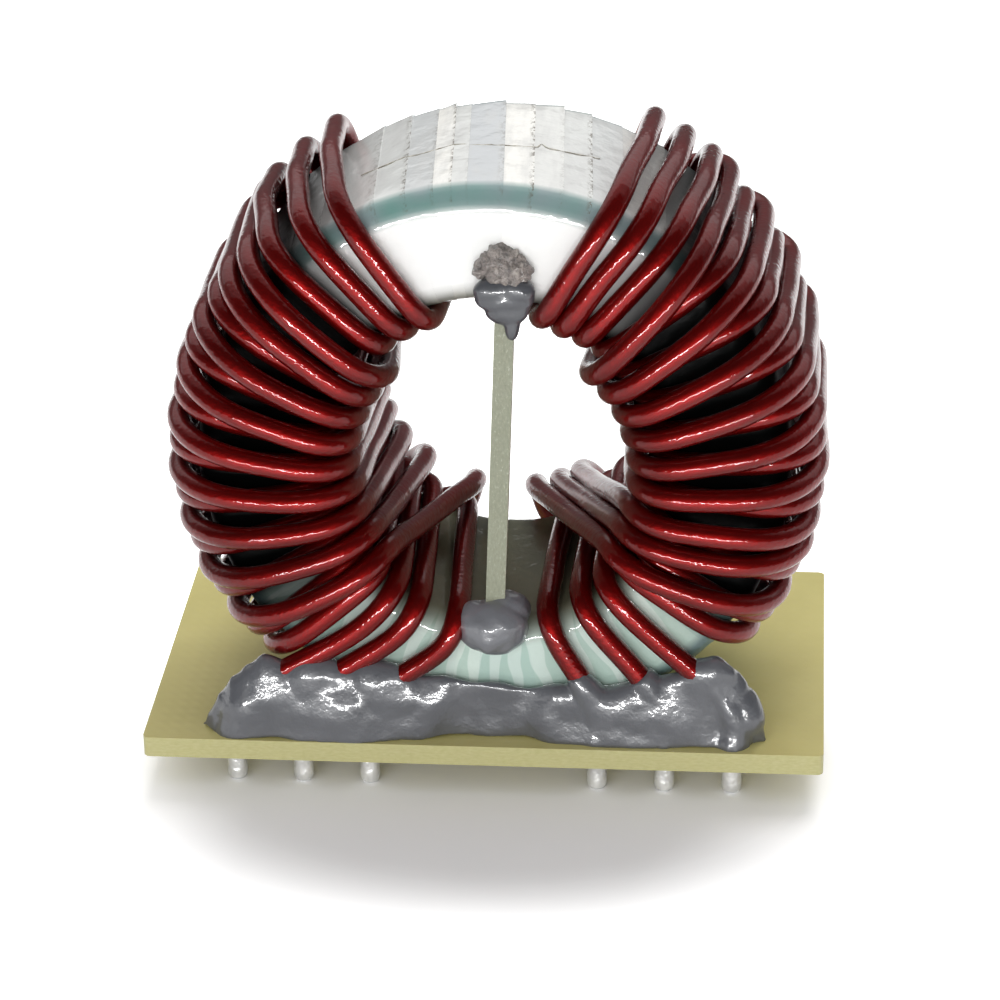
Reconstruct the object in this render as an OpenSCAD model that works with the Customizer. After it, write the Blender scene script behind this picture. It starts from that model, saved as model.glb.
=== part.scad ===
// Toroidal inductor on a pin board: a taped ring core stands upright on a small circuit board.
// Two windings of three parallel wires each lie left and right of a divider strip in the bore.
// Millimetres. X runs along the board, Y to the rear, Z up. The origin is the centre of the
// board's underside, the face that seats on the host board.

/* [Ring core] */
// Outside diameter of the coated core
core_od = 42.6; // [38:0.1:46]
// Bore diameter of the coated core
core_id = 26.1; // [25:0.1:28]
// Height of the core along its axis
core_h = 18.1; // [14:0.1:20]
// Radius of the core's rounded edges
core_edge_r = 1.6; // [1.4:0.1:3]
// Offset of the ring to the right of the board's centre
ring_x = 1; // [-1.5:0.1:1.5]
// Thickness of the tape wrapped round the core
tape_t = 0.25; // [0.2:0.01:0.3]
// Number of flat tape laps seen round the outside
tape_laps = 34; // [30:1:44]
// Gap at the foot of the ring, where the tape's two ends meet
tape_seam = 0.4; // [0.2:0.1:1]

/* [Board] */
// Width of the board
board_w = 50.5; // [46:0.5:60]
// Depth of the board, front to rear
board_d = 29; // [28:0.5:36]
// Thickness of the board
board_t = 1.6; // [1:0.1:2.4]
// Radius of the board's corners
board_corner_r = 0.5; // [0.2:0.1:1.5]

/* [Pins] */
// Distance from the board's centre line to the innermost pin of each side
pin_inner_x = 8.5; // [8:0.1:9]
// Distance between neighbouring pins of one row
pin_pitch = 5; // [4.6:0.1:5.2]
// Distance of each pin row from the board's front or rear edge
pin_edge = 1.8; // [1.5:0.1:3]
// Diameter of a bare, tinned wire end
pin_d = 1.4; // [1.1:0.05:1.45]
// Length of a pin below the board
pin_reach = 2.6; // [2:0.1:5]
// Radial play of a wire in its board hole
hole_play = 0.1; // [0.05:0.05:0.2]

/* [Wire] */
// Diameter of the enamelled wire
wire_d = 1.6; // [1.5:0.02:1.64]
// Play between a wire and what it lies on
wire_play = 0.06; // [0.05:0.01:0.1]
// Radius of the wire's centre line where it bends round a bore edge
bend_in = 1.7; // [1.6:0.05:1.8]
// Radius of the wire's centre line where it bends round the rear outside edge
bend_out = 2.45; // [2.3:0.05:2.5]
// Radius of the wire's centre line where it bends round the front outside edge
bend_front = 3; // [2.6:0.05:3]
// Bulge of the stiff wire away from the outside of the ring
outside_bulge = 0.2; // [0.1:0.05:0.5]
// Further bulge of the wires at the front outside edge
front_bulge = 0.6; // [0.4:0.05:0.8]
// Depth by which an upper wire sinks between the lower ones at the front
nesting = 1.2; // [0:0.05:1.5]
// How much further down the rear end of an outside pass lies than its front end, in degrees
outside_slant = 4; // [0:0.5:4]

/* [Left winding] */
// First and last angle of the three top wires at the front of the outside, from the top
left_top_outside = [28.5, 43.5]; // [0:0.5:180]
// First and last angle of the other wires at the front of the outside
left_body_outside = [48.5, 133]; // [0:0.5:180]
// First and last angle of the three top wires at the bore
left_top_bore = [20, 39]; // [0:0.5:180]
// First and last angle of the lower layer at the bore
left_lower_bore = [60, 135.2]; // [0:0.1:180]
// First and last angle of the upper layer at the bore
left_upper_bore = [46.5, 132.1]; // [0:0.1:180]
// Angles at which the front leads leave the bore
left_lead_bore = [144, 153, 167]; // [0:0.5:180]
// Angles at which the rear leads leave the bore
left_rear_bore = [126, 140, 164]; // [0:0.5:180]

/* [Right winding] */
// First and last angle of the three top wires at the front of the outside, from the top
right_top_outside = [24, 36.4]; // [0:0.1:180]
// First and last angle of the other wires at the front of the outside
right_body_outside = [41.5, 126.5]; // [0:0.5:180]
// First and last angle of the three top wires at the bore
right_top_bore = [16.5, 32.3]; // [0:0.1:180]
// First and last angle of the lower layer at the bore
right_lower_bore = [40.5, 129.3]; // [0:0.1:180]
// First and last angle of the upper layer at the bore
right_upper_bore = [42.5, 127.3]; // [0:0.1:180]
// Angles at which the front leads leave the bore
right_lead_bore = [139, 149, 162]; // [0:0.5:180]
// Angles at which the rear leads leave the bore
right_rear_bore = [150, 160.5, 171]; // [0:0.5:180]

/* [Divider] */
// Thickness of the divider strip
divider_t = 1.4; // [1:0.1:1.5]
// Distance of the strip's rear edge from the ring's rear face
divider_rear_inset = 1.1; // [0:0.1:4]
// Lean of the strip to the right at its top, in degrees
divider_lean = 2.5; // [0:0.1:3]
// Turn of the strip about its own length, in degrees
divider_twist = 3.4; // [0:0.1:4]
// Play between the strip's ends and the bore
divider_play = 0.03; // [0.02:0.01:0.1]

/* [Adhesive] */
// Height of the front bead between its lumps
front_bead_h = 3.8; // [3:0.1:4.5]
// Distance of the front bead's outer foot from the pin row
front_bead_foot = 1.35; // [1.1:0.05:1.5]
// Height of the rear bead between its lumps
rear_bead_h = 3; // [2:0.1:3.5]
// Distance of the rear bead's outer foot from the pin row
rear_bead_foot = 1.4; // [1.1:0.05:1.5]
// Distance of both beads' inner foot from the pin row
bead_inner_foot = 1.5; // [1.2:0.1:1.8]
// Overhang of both beads past the outermost pins
bead_overhang = 2.5; // [1.5:0.1:3.5]
// Half the width of the adhesive ball at the foot of the divider
foot_ball_r = 3.3; // [2.6:0.1:3.6]
// Half the width of the adhesive drop at the top of the divider
top_drop_r = 2.3; // [1.8:0.1:2.6]
// Play between the adhesive and what it holds
glue_play = 0.03; // [0.02:0.01:0.1]

/* [Hidden] */

// ---- Ring: the tape's outer form, and where the ring stands
tape_play = 0.02;
// How far the laps' corners would stand out if the ring's round outside didn't trim them
LAP_CORNER = 0.03;
// Unevenness of the laps' widths, as a share of a lap, and the angle that shuffles it
LAP_SHIFT = 0.22;
LAP_SHUFFLE = 137;
// How far the cutter of the laps stands out past both faces
LAP_SPARE = 1;
ring_r = core_od / 2 + tape_t;
bore_r = core_id / 2 - tape_t;
ring_h = core_h + 2 * tape_t;
ring_edge_r = core_edge_r + tape_t;

// ---- Wire layers: distances of the wires' centre lines from the ring
wire_r = wire_d / 2;
wire_rest = wire_r + wire_play;
layer_step = wire_d + 1.5 * wire_play;
bore_wire_r = bore_r - wire_rest;
outside_wire_r = ring_r + wire_rest + outside_bulge;
face_wire_y = ring_h / 2 + wire_rest;

// The ring rests on the board, and its front wires drop straight into the front pin row.
pin_row_y = board_d / 2 - pin_edge;
ring_y = face_wire_y - pin_row_y;
ring_z = board_t + ring_r + tape_play;

// ---- Windings
STRANDS = 3;
LEFT = -1;
RIGHT = 1;
// The layer of each outside pass, counted down from the top: T top, U upper, L lower
LEFT_LAYERS = "TTTUULULULULULULULULL";
RIGHT_LAYERS = "TTTULULULULULULUULULL";
// Drift of a wire along the bore, front to rear: a lower one climbs, an upper one sinks
LOWER_DRIFT = -4;
UPPER_DRIFT = 12;
// How late a wire starts to drift on the front face: 1 is at an even rate
FRONT_DELAY = 2;
BEND_RINGS = 3;
SIDES = 8;
LEAD_RINGS = 4;
// Length of each front lead's free arch before it turns down, outermost lead first, and how
// far above its pin it starts to straighten
LEAD_ARCH = [5.5, 3, 2];
LEAD_DROP = 3;
REAR_LEAD_ARCH = 4;
REAR_LEAD_DROP = 5;
// Straight stretch of each wire above the board. The enamelled wire passes through the board,
// and its bare end starts at the underside and is drawn on into it by the root.
LEAD_STRAIGHT = 1.35;
PIN_ROOT = 0.5;

function winding(side) = side == LEFT
    ? [LEFT, LEFT_LAYERS, left_top_outside, left_body_outside, left_top_bore,
       left_lower_bore, left_upper_bore, left_lead_bore, left_rear_bore]
    : [RIGHT, RIGHT_LAYERS, right_top_outside, right_body_outside, right_top_bore,
       right_lower_bore, right_upper_bore, right_lead_bore, right_rear_bore];

function spread(ends, count, i) = ends[0] + (ends[1] - ends[0]) * i / (count - 1);
function reversed(list) = [for (i = [len(list) - 1:-1:0]) list[i]];

// Outside passes of one layer, from the top down
function in_layer(w, kind) = [for (i = [0:len(w[1]) - 1]) if (w[1][i] == kind) i];
function place_in(list, value) = search(value, list)[0];

// Angle of an outside pass, and the angle at which it enters the bore at the front
function outside_angle(w, i) = i < STRANDS
    ? spread(w[2], STRANDS, i)
    : spread(w[3], len(w[1]) - STRANDS, i - STRANDS);
function bore_angle(w, i) =
    let (kind = w[1][i],
         passes = in_layer(w, kind),
         ends = kind == "T" ? w[4] : kind == "L" ? w[5] : w[6])
    spread(ends, len(passes), place_in(passes, i));

// The passes of one wire in the order in which it is wound: three turns climb in the lower
// layer, one crosses the top, and three come back in the upper layer.
function wire_passes(w, s) =
    let (climb = reversed(in_layer(w, "L")),
         top = in_layer(w, "T"),
         back = in_layer(w, "U"))
    concat(
        [for (k = [0:STRANDS - 1]) climb[STRANDS * k + STRANDS - 1 - s]],
        [top[s]],
        [for (k = [0:STRANDS - 1]) back[STRANDS * k + s]]
    );

// One station of a wire: its centre, and the direction away from the ring. Angles are measured
// from the top towards the winding's side, and tilt turns the direction from radial to axial.
function station(side, r, angle, y, tilt) = [
    [ring_x + side * r * sin(angle), ring_y + y, ring_z + r * cos(angle)],
    [side * sin(angle) * cos(tilt), sin(tilt), cos(angle) * cos(tilt)]
];

// A bend from a pass at radius r onto a face at the given level. outward is 1 for a pass on the
// outside of the ring and -1 for one in the bore.
function bend(side, r, radius, level, face, outward, angles) = [
    for (i = [0:BEND_RINGS - 1])
        let (t = 90 * i / (BEND_RINGS - 1))
        station(side, r - outward * radius * (1 - cos(t)), angles[i],
                face * (level - radius + radius * sin(t)), atan2(face * sin(t), outward * cos(t)))
];

// The walk over one face, from the bend at r0 to the bend at r1, with the angle drifting from
// a0 to a1 in step with the length of wire.
function face_walk(side, r0, bend0, r1, bend1, level, face, a0, a1, delay) =
    let (outward = r1 > r0 ? 1 : -1,
         arc0 = bend0 * PI / 2,
         arc1 = bend1 * PI / 2,
         flat = abs(r1 - r0) - bend0 - bend1,
         total = arc0 + flat + arc1,
         steps = BEND_RINGS - 1,
         angle_at = function (l) a0 + (a1 - a0) * pow(l / total, delay))
    concat(
        bend(side, r0, bend0, level, face, -outward,
             [for (i = [0:steps]) angle_at(arc0 * i / steps)]),
        reversed(bend(side, r1, bend1, level, face, outward,
             [for (i = [0:steps]) angle_at(total - arc1 * i / steps)]))
    );

function same(value) = [for (i = [1:BEND_RINGS]) value];
function curve(p, t) = pow(1 - t, 3) * p[0] + 3 * pow(1 - t, 2) * t * p[1]
    + 3 * (1 - t) * t * t * p[2] + pow(t, 3) * p[3];

// A lead from a face down to its pin, as stations that start just past the face's bend
function lead(w, s, start, away, arch, lift, face) =
    let (pin = [w[0] * pin_x(s), face * pin_row_y, 0],
         straight = pin + [0, 0, board_t + LEAD_STRAIGHT],
         p = [start, start + arch * away, straight + [0, 0, lift], straight])
    concat(
        [for (i = [1:LEAD_RINGS]) [curve(p, i / LEAD_RINGS), [0, face, 0]]],
        [[pin, [0, face, 0]]]
    );

function pin_x(s) = pin_inner_x + (STRANDS - 1 - s) * pin_pitch;
function outward_at(side, angle) = [side * sin(angle), 0, cos(angle)];

// Stations of one whole wire, from its front pin to its rear pin
function wire_path(side, s) =
    let (w = winding(side),
         passes = wire_passes(w, s),
         count = len(passes),
         lead_angle = w[7][s],
         rear_angle = w[8][s],
         front_bend = bend(side, bore_wire_r, bend_in, face_wire_y, -1, -1, same(lead_angle)),
         front_lead = lead(w, s, front_bend[BEND_RINGS - 1][0], outward_at(side, lead_angle),
                           LEAD_ARCH[s], LEAD_DROP, -1),
         rear_bend = bend(side, bore_wire_r - layer_step, bend_in + layer_step,
                          face_wire_y + layer_step, 1, -1, same(rear_angle)),
         rear_lead = lead(w, s, rear_bend[BEND_RINGS - 1][0], outward_at(side, rear_angle),
                          REAR_LEAD_ARCH, REAR_LEAD_DROP, 1))
    concat(
        reversed(front_lead),
        reversed(front_bend),
        [for (t = [0:count - 1])
            each turn(w, t == 0 ? "L" : w[1][passes[t - 1]],
                      t == 0 ? lead_angle : bore_angle(w, passes[t - 1]), passes[t])],
        rear_bend,
        rear_lead
    );

// One turn: from a bore pass of the given kind and angle, over the rear face, along the
// outside and back over the front face
function turn(w, kind, angle, pass) =
    let (side = w[0],
         next = w[1][pass],
         bore_up = kind == "U" ? layer_step : 0,
         rear_up = kind == "L" ? 0 : layer_step,
         next_up = next == "U" ? layer_step : 0,
         sunk = next == "U" ? nesting : 0,
         outside = outside_angle(w, pass),
         drift = kind == "U" ? UPPER_DRIFT : LOWER_DRIFT)
    concat(
        face_walk(side, bore_wire_r - bore_up, bend_in + (rear_up == bore_up ? bore_up : 0),
                  outside_wire_r + next_up, bend_out + rear_up,
                  face_wire_y + rear_up, 1, angle + drift, outside + outside_slant, 1),
        face_walk(side, outside_wire_r + front_bulge + next_up - sunk, bend_front + next_up,
                  bore_wire_r - next_up, bend_in + next_up,
                  face_wire_y + next_up, -1, outside, bore_angle(w, pass), FRONT_DELAY)
    );

function unit(v) = v / norm(v);
function heading(path, i) =
    i == 0 ? unit(path[1][0] - path[0][0])
    : i == len(path) - 1 ? unit(path[i][0] - path[i - 1][0])
    : unit(unit(path[i][0] - path[i - 1][0]) + unit(path[i + 1][0] - path[i][0]));

// Sweeps an even polygon with flats towards the ring along the stations of a path
module sweep(path, radius) {
    points = [
        for (i = [0:len(path) - 1])
            let (t = heading(path, i),
                 n = unit(path[i][1] - t * (path[i][1] * t)),
                 b = cross(t, n))
            for (k = [0:SIDES - 1])
                let (a = 360 * (k + 0.5) / SIDES)
                path[i][0] + radius * (cos(a) * n + sin(a) * b)
    ];
    loft(points, len(path), SIDES, 1);
}

// ---- Board with its twelve pin holes
module base_board() {
    color("#c0b878")
        linear_extrude(board_t)
            difference() {
                board_outline();
                for (side = [LEFT, RIGHT], s = [0:STRANDS - 1], face = [-1, 1])
                    translate([side * pin_x(s), face * pin_row_y])
                        circle(r = wire_r + hole_play, $fn = 48);
            }
}

module board_outline() {
    w = board_w / 2 - board_corner_r;
    d = board_d / 2 - board_corner_r;
    square([board_w, 2 * d], center = true);
    square([2 * w, board_d], center = true);
    for (x = [-w, w], y = [-d, d])
        translate([x, y])
            circle(r = board_corner_r, $fn = 24);
}

// ---- Ring: a rounded rectangle turned about the Y axis
module ring_solid(outer_r, inner_r, height, edge_r) {
    translate([ring_x, ring_y, ring_z])
        rotate([90, 0, 0])
            rotate_extrude($fn = 180)
                rounded_section(inner_r, outer_r, height, edge_r);
}

module rounded_section(x0, x1, height, r) {
    translate([x0, -height / 2 + r])
        square([x1 - x0, height - 2 * r]);
    translate([x0 + r, -height / 2])
        square([x1 - x0 - 2 * r, height]);
    for (x = [x0 + r, x1 - r], y = [-height / 2 + r, height / 2 - r])
        translate([x, y])
            circle(r = r, $fn = 20);
}

module core() {
    color("#7fae98")
        ring_solid(core_od / 2, core_id / 2, core_h, core_edge_r);
}

// The taped ring's outer form: flat laps round the outside, of uneven width, whose corners the
// ring's round outside trims
module ring_form(play = 0) {
    corner_r = ring_r + play + LAP_CORNER;
    intersection() {
        ring_solid(ring_r + play, bore_r - play, ring_h + 2 * play, ring_edge_r);
        translate([ring_x, ring_y, ring_z])
            rotate([90, 0, 0])
                linear_extrude(ring_h + 2 * LAP_SPARE, center = true)
                    polygon([for (i = [0:tape_laps - 1])
                        let (a = 360 * (i + LAP_SHIFT * sin(LAP_SHUFFLE * i)) / tape_laps)
                        corner_r * [cos(a), sin(a)]]);
    }
}

module core_tape() {
    color("#dfe9e4")
    difference() {
        ring_form();
        ring_solid(core_od / 2 + tape_play, core_id / 2 - tape_play,
                   core_h + 2 * tape_play, core_edge_r + tape_play);
        translate([ring_x, ring_y, ring_z - (ring_r + bore_r) / 2])
            cube([tape_seam, 2 * ring_h, 2 * (ring_r - bore_r)], center = true);
    }
}

// ---- Divider strip, wedged across the bore
module divider_plate(play = 0) {
    depth = ring_h - divider_rear_inset;
    translate([ring_x, ring_y - divider_rear_inset / 2, ring_z])
        rotate([0, divider_lean, 0])
            rotate([0, 0, divider_twist])
                cube([divider_t + 2 * play, depth + 2 * play, 2 * bore_r], center = true);
}

module divider() {
    color("#b4b49c")
    intersection() {
        divider_plate();
        translate([ring_x, ring_y, ring_z])
            rotate([90, 0, 0])
                cylinder(r = bore_r - divider_play, h = 2 * ring_h, center = true, $fn = 96);
    }
}

// ---- Wires: enamelled sweep with a bare round pin at each end
module wire(side, s) {
    color("#6e1f1c")
        sweep(wire_path(side, s), wire_r);
    color("#c9cbcc")
        for (face = [-1, 1])
            translate([side * pin_x(s), face * pin_row_y, -pin_reach])
                cylinder(r = pin_d / 2, h = pin_reach + PIN_ROOT, $fn = 32);
}

module left_wire_1() { wire(LEFT, 0); }
module left_wire_2() { wire(LEFT, 1); }
module left_wire_3() { wire(LEFT, 2); }
module right_wire_1() { wire(RIGHT, 0); }
module right_wire_2() { wire(RIGHT, 1); }
module right_wire_3() { wire(RIGHT, 2); }

// ---- Adhesive beads along the two pin rows
BEAD_STATIONS = 28;
BEAD_POINTS = 9;
// Half length of a bead, how much of it the stations cover, and how bluntly it closes
bead_reach = pin_inner_x + (STRANDS - 1) * pin_pitch + bead_overhang;
BEAD_COVER = 0.999;
BEAD_CLOSE = 8;
// Thickness of the cuff round a lead, and the number of lead stations that it covers
CUFF_T = 0.3;
CUFF_RINGS = 4;

// Lumps of a bead where the leads dip in: [place along the board, height, spread]
FRONT_LUMPS = [[2.2 - pin_x(0), 1.5, 1.6], [2.3 - pin_x(1), 1.9, 1.7], [1.2 - pin_x(2), 1, 1.4],
               [-2.5, 0.4, 2.5], [3.6, -0.5, 1.2],
               [pin_x(1) - 1.1, 0.4, 1.2], [pin_x(0) - 1.7, 1.8, 1.9]];
REAR_LUMPS = [[1.5 - pin_x(0), 1.4, 1.8], [1.5 - pin_x(1), 1.1, 1.6], [1 - pin_x(2), 1.4, 1.7],
              [pin_x(2) - 0.5, 1.2, 1.8], [pin_x(1) - 0.5, 0.8, 1.8], [pin_x(0) - 1.3, 1.6, 1.7]];
// Where the outer foot of a bead swings out or draws in, in the same form
FRONT_FOOT = [[-7.4, 0.2, 2], [0.4, -1.2, 3], [11.8, 0.2, 2.4]];
REAR_FOOT = [[0, -0.7, 4]];

function waves(list, x) = [for (l = list) l[1] * exp(-pow((x - l[0]) / l[2], 2))]
    * [for (l = list) 1];

// A bead is a row of half ovals on the board that close in a blunt end at either side
module bead(face, height, lumps, foot, foot_waves) {
    points = [
        for (i = [0:BEAD_STATIONS - 1])
            let (x = BEAD_COVER * bead_reach * (2 * i / (BEAD_STATIONS - 1) - 1),
                 close = sqrt(1 - pow(x / bead_reach, BEAD_CLOSE)),
                 tall = close * (height + waves(lumps, x)),
                 outer = close * (foot + waves(foot_waves, x)),
                 inner = close * bead_inner_foot)
            for (k = [0:BEAD_POINTS - 1])
                let (a = 180 * k / (BEAD_POINTS - 1))
                [x, face * (pin_row_y + (a < 90 ? outer : inner) * cos(a)),
                 board_t + tall * sin(a)]
    ];
    loft(points, BEAD_STATIONS, BEAD_POINTS, face);
}

// Joins rings of points into a closed body. turn is 1 or -1, the way the rings run round.
module loft(points, rings, n, turn) {
    skin = [
        for (i = [0:rings - 2])
            for (k = [0:n - 1])
                let (a = i * n + k,
                     b = i * n + (k + 1) % n)
                each [[a, b + n, b], [a, a + n, b + n]]
    ];
    ends = [
        [for (k = [0:n - 1]) k],
        [for (k = [n - 1:-1:0]) (rings - 1) * n + k]
    ];
    faces = concat(skin, ends);
    polyhedron(points, turn > 0 ? faces : [for (f = faces) reversed(f)]);
}

// The room that a stretch of one wire needs in adhesive. A negative first station counts from
// the wire's rear end.
module wire_room(side, s, first, stations) {
    path = wire_path(side, s);
    start = first < 0 ? len(path) + first : first;
    sweep([for (i = [start:start + stations - 1]) path[i]], wire_r + glue_play);
}

module lead_rooms(face) {
    stations = LEAD_RINGS + 2;
    for (side = [LEFT, RIGHT], s = [0:STRANDS - 1])
        wire_room(side, s, face < 0 ? 0 : -stations, stations);
}

// The lowest turn of each winding passes close over the front bead
module low_turn_rooms() {
    for (side = [LEFT, RIGHT])
        wire_room(side, STRANDS - 1, LEAD_RINGS + 3 * BEND_RINGS, 2 * BEND_RINGS + 1);
}

// Adhesive that climbs up the front leads as a cuff round each one
module lead_cuffs() {
    for (side = [LEFT, RIGHT], s = [0:STRANDS - 1]) {
        path = wire_path(side, s);
        foot = [[path[0][0][0], path[0][0][1], board_t], path[0][1]];
        sweep(concat([foot], [for (i = [1:CUFF_RINGS - 1]) path[i]]), wire_r + CUFF_T);
    }
}

module front_adhesive() {
    color("#75777c")
    difference() {
        union() {
            bead(-1, front_bead_h, FRONT_LUMPS, front_bead_foot, FRONT_FOOT);
            lead_cuffs();
        }
        ring_form(glue_play);
        lead_rooms(-1);
        low_turn_rooms();
    }
}

module rear_adhesive() {
    color("#75777c")
    difference() {
        bead(1, rear_bead_h, REAR_LUMPS, rear_bead_foot, REAR_FOOT);
        lead_rooms(1);
    }
}

// ---- Adhesive at the two ends of the divider, on the ring's front face
// The drop: a crumbly upper lump, the drop itself and a drip down the strip, each as
// [offset along X, height over the bore's top edge, radius]
DROP_LUMPS = [[0.2, 3.2, 0.85 * top_drop_r], [0.2, 1.8, top_drop_r], [0.4, -1.1, 0.8]];
// The ball: its centre from the strip's foot along X and Z, and how round its two halves are
BALL_OFFSET = 0.6;
BALL_ROUND = 0.8;
// How deep the adhesive's middle lies behind the ring's front face
GLUE_DEPTH = 0.25;

// X of the strip's middle at its front edge, at a height over the ring's axis
function strip_x(z) = ring_x + z * tan(divider_lean) + (ring_h / 2) * sin(divider_twist);

// Puts adhesive on the ring's front face at the strip, at a height over the ring's axis, and
// clears it from the ring and the strip
module on_strip(z) {
    difference() {
        translate([strip_x(z), ring_y - ring_h / 2 + GLUE_DEPTH, ring_z + z])
            hull()
                children();
        ring_form(glue_play);
        divider_plate(glue_play);
    }
}

module divider_top_adhesive() {
    color("#6c6e73")
        on_strip(bore_r)
            for (lump = DROP_LUMPS)
                translate([lump[0], 0, lump[1]])
                    sphere(r = lump[2], $fn = 16);
}

module divider_foot_adhesive() {
    color("#6c6e73")
    difference() {
        on_strip(-bore_r)
            for (x = [-1, 1])
                translate([BALL_OFFSET + x * (1 - BALL_ROUND) * foot_ball_r, 0, BALL_OFFSET])
                    sphere(r = BALL_ROUND * foot_ball_r, $fn = 16);
        for (side = [LEFT, RIGHT])
            wire_room(side, STRANDS - 1, 0, LEAD_RINGS + BEND_RINGS + 2);
    }
}

base_board();
core();
core_tape();
divider();
left_wire_1();
left_wire_2();
left_wire_3();
right_wire_1();
right_wire_2();
right_wire_3();
front_adhesive();
rear_adhesive();
divider_top_adhesive();
divider_foot_adhesive();
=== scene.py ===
import math
import bpy
import numpy as np
from mathutils import Matrix, Vector, noise


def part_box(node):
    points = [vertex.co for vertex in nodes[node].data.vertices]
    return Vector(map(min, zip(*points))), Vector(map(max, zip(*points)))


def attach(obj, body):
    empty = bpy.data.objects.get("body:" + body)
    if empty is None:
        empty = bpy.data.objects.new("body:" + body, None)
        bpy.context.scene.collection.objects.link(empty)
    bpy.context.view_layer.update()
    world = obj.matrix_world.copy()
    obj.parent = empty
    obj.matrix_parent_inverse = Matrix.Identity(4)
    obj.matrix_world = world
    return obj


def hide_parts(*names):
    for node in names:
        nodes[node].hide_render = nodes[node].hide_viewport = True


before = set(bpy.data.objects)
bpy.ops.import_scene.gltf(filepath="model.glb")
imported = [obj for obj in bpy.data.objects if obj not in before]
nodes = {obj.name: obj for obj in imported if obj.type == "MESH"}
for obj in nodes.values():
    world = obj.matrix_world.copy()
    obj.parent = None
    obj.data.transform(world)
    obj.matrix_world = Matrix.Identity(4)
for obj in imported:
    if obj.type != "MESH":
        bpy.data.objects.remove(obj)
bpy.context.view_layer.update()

# Sizes below are in millimetres, in the frame of the CAD model: X along the board, Y to the rear,
# Z up, and zero at the middle of the board's underside.
MM = 0.001


def box_mm(node):
    """Lowest and highest corner of a CAD node, in millimetres."""
    low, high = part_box(node)
    return np.array(low) / MM, np.array(high) / MM


# ---- Sizes taken from the frame
board_high = box_mm("base_board")[1]
core_low, core_high = box_mm("core")
board_t = board_high[2]
floor_z = box_mm("left_wire_1")[0][2]
ring_x, ring_y, ring_z = (core_low + core_high) / 2
core_r = (core_high[0] - core_low[0]) / 2
core_h = core_high[1] - core_low[1]

# ---- Sizes that the frame doesn't hold. The first ones are the part's source's too
TAPE_T = 0.25
CORE_BORE_R = 13.05
CORE_EDGE_R = 1.6
WIRE_D = 1.6
WIRE_PLAY = 0.06
# X of the innermost pins, the pitch of their row, and its distance from the board's edge
PIN_INNER_X = 8.5
PIN_PITCH = 5.0
PIN_EDGE = 1.8
# Play between two layers of wire, as a share of WIRE_PLAY, and how much of it the enamel takes up
LAYER_PLAY = 1.5
ENAMEL_T = 0.045
# Radius of a wire's bend at the bore, at the ring's rear edge and at its front edge, and how much
# rounder the rear bend of an upper wire is, as a share of a layer
BEND_IN = 1.7
BEND_OUT = 2.45
BEND_FRONT = 4.2
REAR_ROUND = 0.5
# How far each outside pass stands off the tape, how much further its front and its rear end do,
# and how far its middle stands above both, by layer as in WINDINGS
OUTSIDE_BULGE = 0.2
FRONT_BULGE = 0.6
REAR_BULGE = dict(T=0.8, U=0.3, L=0.2)
ARCH = dict(T=0.6, U=0.05, L=0.0)
# Degrees round the ring between the two ends of an outside pass
OUTSIDE_SLANT = 4
# How far the front end and the rear end of an upper pass sink between the lower ones
NESTING = 1.55
REAR_NESTING = 1.5
# Height over which a lead stands upright on the board
LEAD_STRAIGHT = 1.35

ring_r = core_r + TAPE_T
bore_r = CORE_BORE_R - TAPE_T
ring_h = core_h + 2 * TAPE_T
ring_edge_r = CORE_EDGE_R + TAPE_T
wire_r = WIRE_D / 2
wire_rest = wire_r + WIRE_PLAY
enamel_r = wire_r + ENAMEL_T
layer_step = WIRE_D + LAYER_PLAY * WIRE_PLAY
bore_wire_r = bore_r - wire_rest
outside_wire_r = ring_r + wire_rest + OUTSIDE_BULGE
face_wire_y = ring_h / 2 + wire_rest
pin_row_y = board_high[1] - PIN_EDGE


# ---- Helpers for meshes and nodes
def add_object(name, data):
    obj = bpy.data.objects.new(name, data)
    bpy.context.scene.collection.objects.link(obj)
    return obj


def add_mesh(name, vertices, faces, materials=()):
    """A mesh object from points in millimetres."""
    mesh = bpy.data.meshes.new(name)
    mesh.from_pydata((np.asarray(vertices, float) * MM).tolist(), [], faces)
    for material in materials:
        mesh.materials.append(material)
    return add_object(name, mesh)


def add_piece(name, vertices, faces, materials, node):
    """A smooth mesh that rides on the root body and stands for a CAD node."""
    obj = add_mesh(name, vertices, faces, materials)
    obj.data.polygons.foreach_set("use_smooth", [True] * len(faces))
    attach(obj, "root")
    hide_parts(node)
    return obj


def ring_faces(rings, sides, closed=False):
    """Quads between rings of points, and from the last ring to the first if closed."""
    faces = []
    for i in range(rings if closed else rings - 1):
        on = ((i + 1) % rings - i) * sides
        for k in range(sides):
            a = i * sides + k
            b = i * sides + (k + 1) % sides
            faces.append((a, b, b + on, a + on))
    return faces


def tube_faces(rings, sides):
    """Quads between rings of points, and one face over each end."""
    return ring_faces(rings, sides) + [
        tuple(range(sides - 1, -1, -1)), tuple((rings - 1) * sides + k for k in range(sides))]


def joined(parts):
    """The points and the faces of several meshes as those of one."""
    vertices, faces = [], []
    for part_vertices, part_faces in parts:
        offset = len(vertices)
        vertices += [tuple(v) for v in part_vertices]
        faces += [tuple(i + offset for i in f) for f in part_faces]
    return vertices, faces


def fill_attribute(obj, name, values):
    """Stores one number or one vector for each vertex, for a material to read."""
    values = np.asarray(values, np.float32)
    kind, field = ("FLOAT_VECTOR", "vector") if values.ndim == 2 else ("FLOAT", "value")
    attribute = obj.data.attributes.new(name, kind, "POINT")
    attribute.data.foreach_set(field, values.ravel())


def feed(tree, value, target):
    """Links a socket to the target, or gives the target a fixed value."""
    if hasattr(value, "is_linked"):
        tree.links.new(value, target)
    else:
        target.default_value = value


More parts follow.
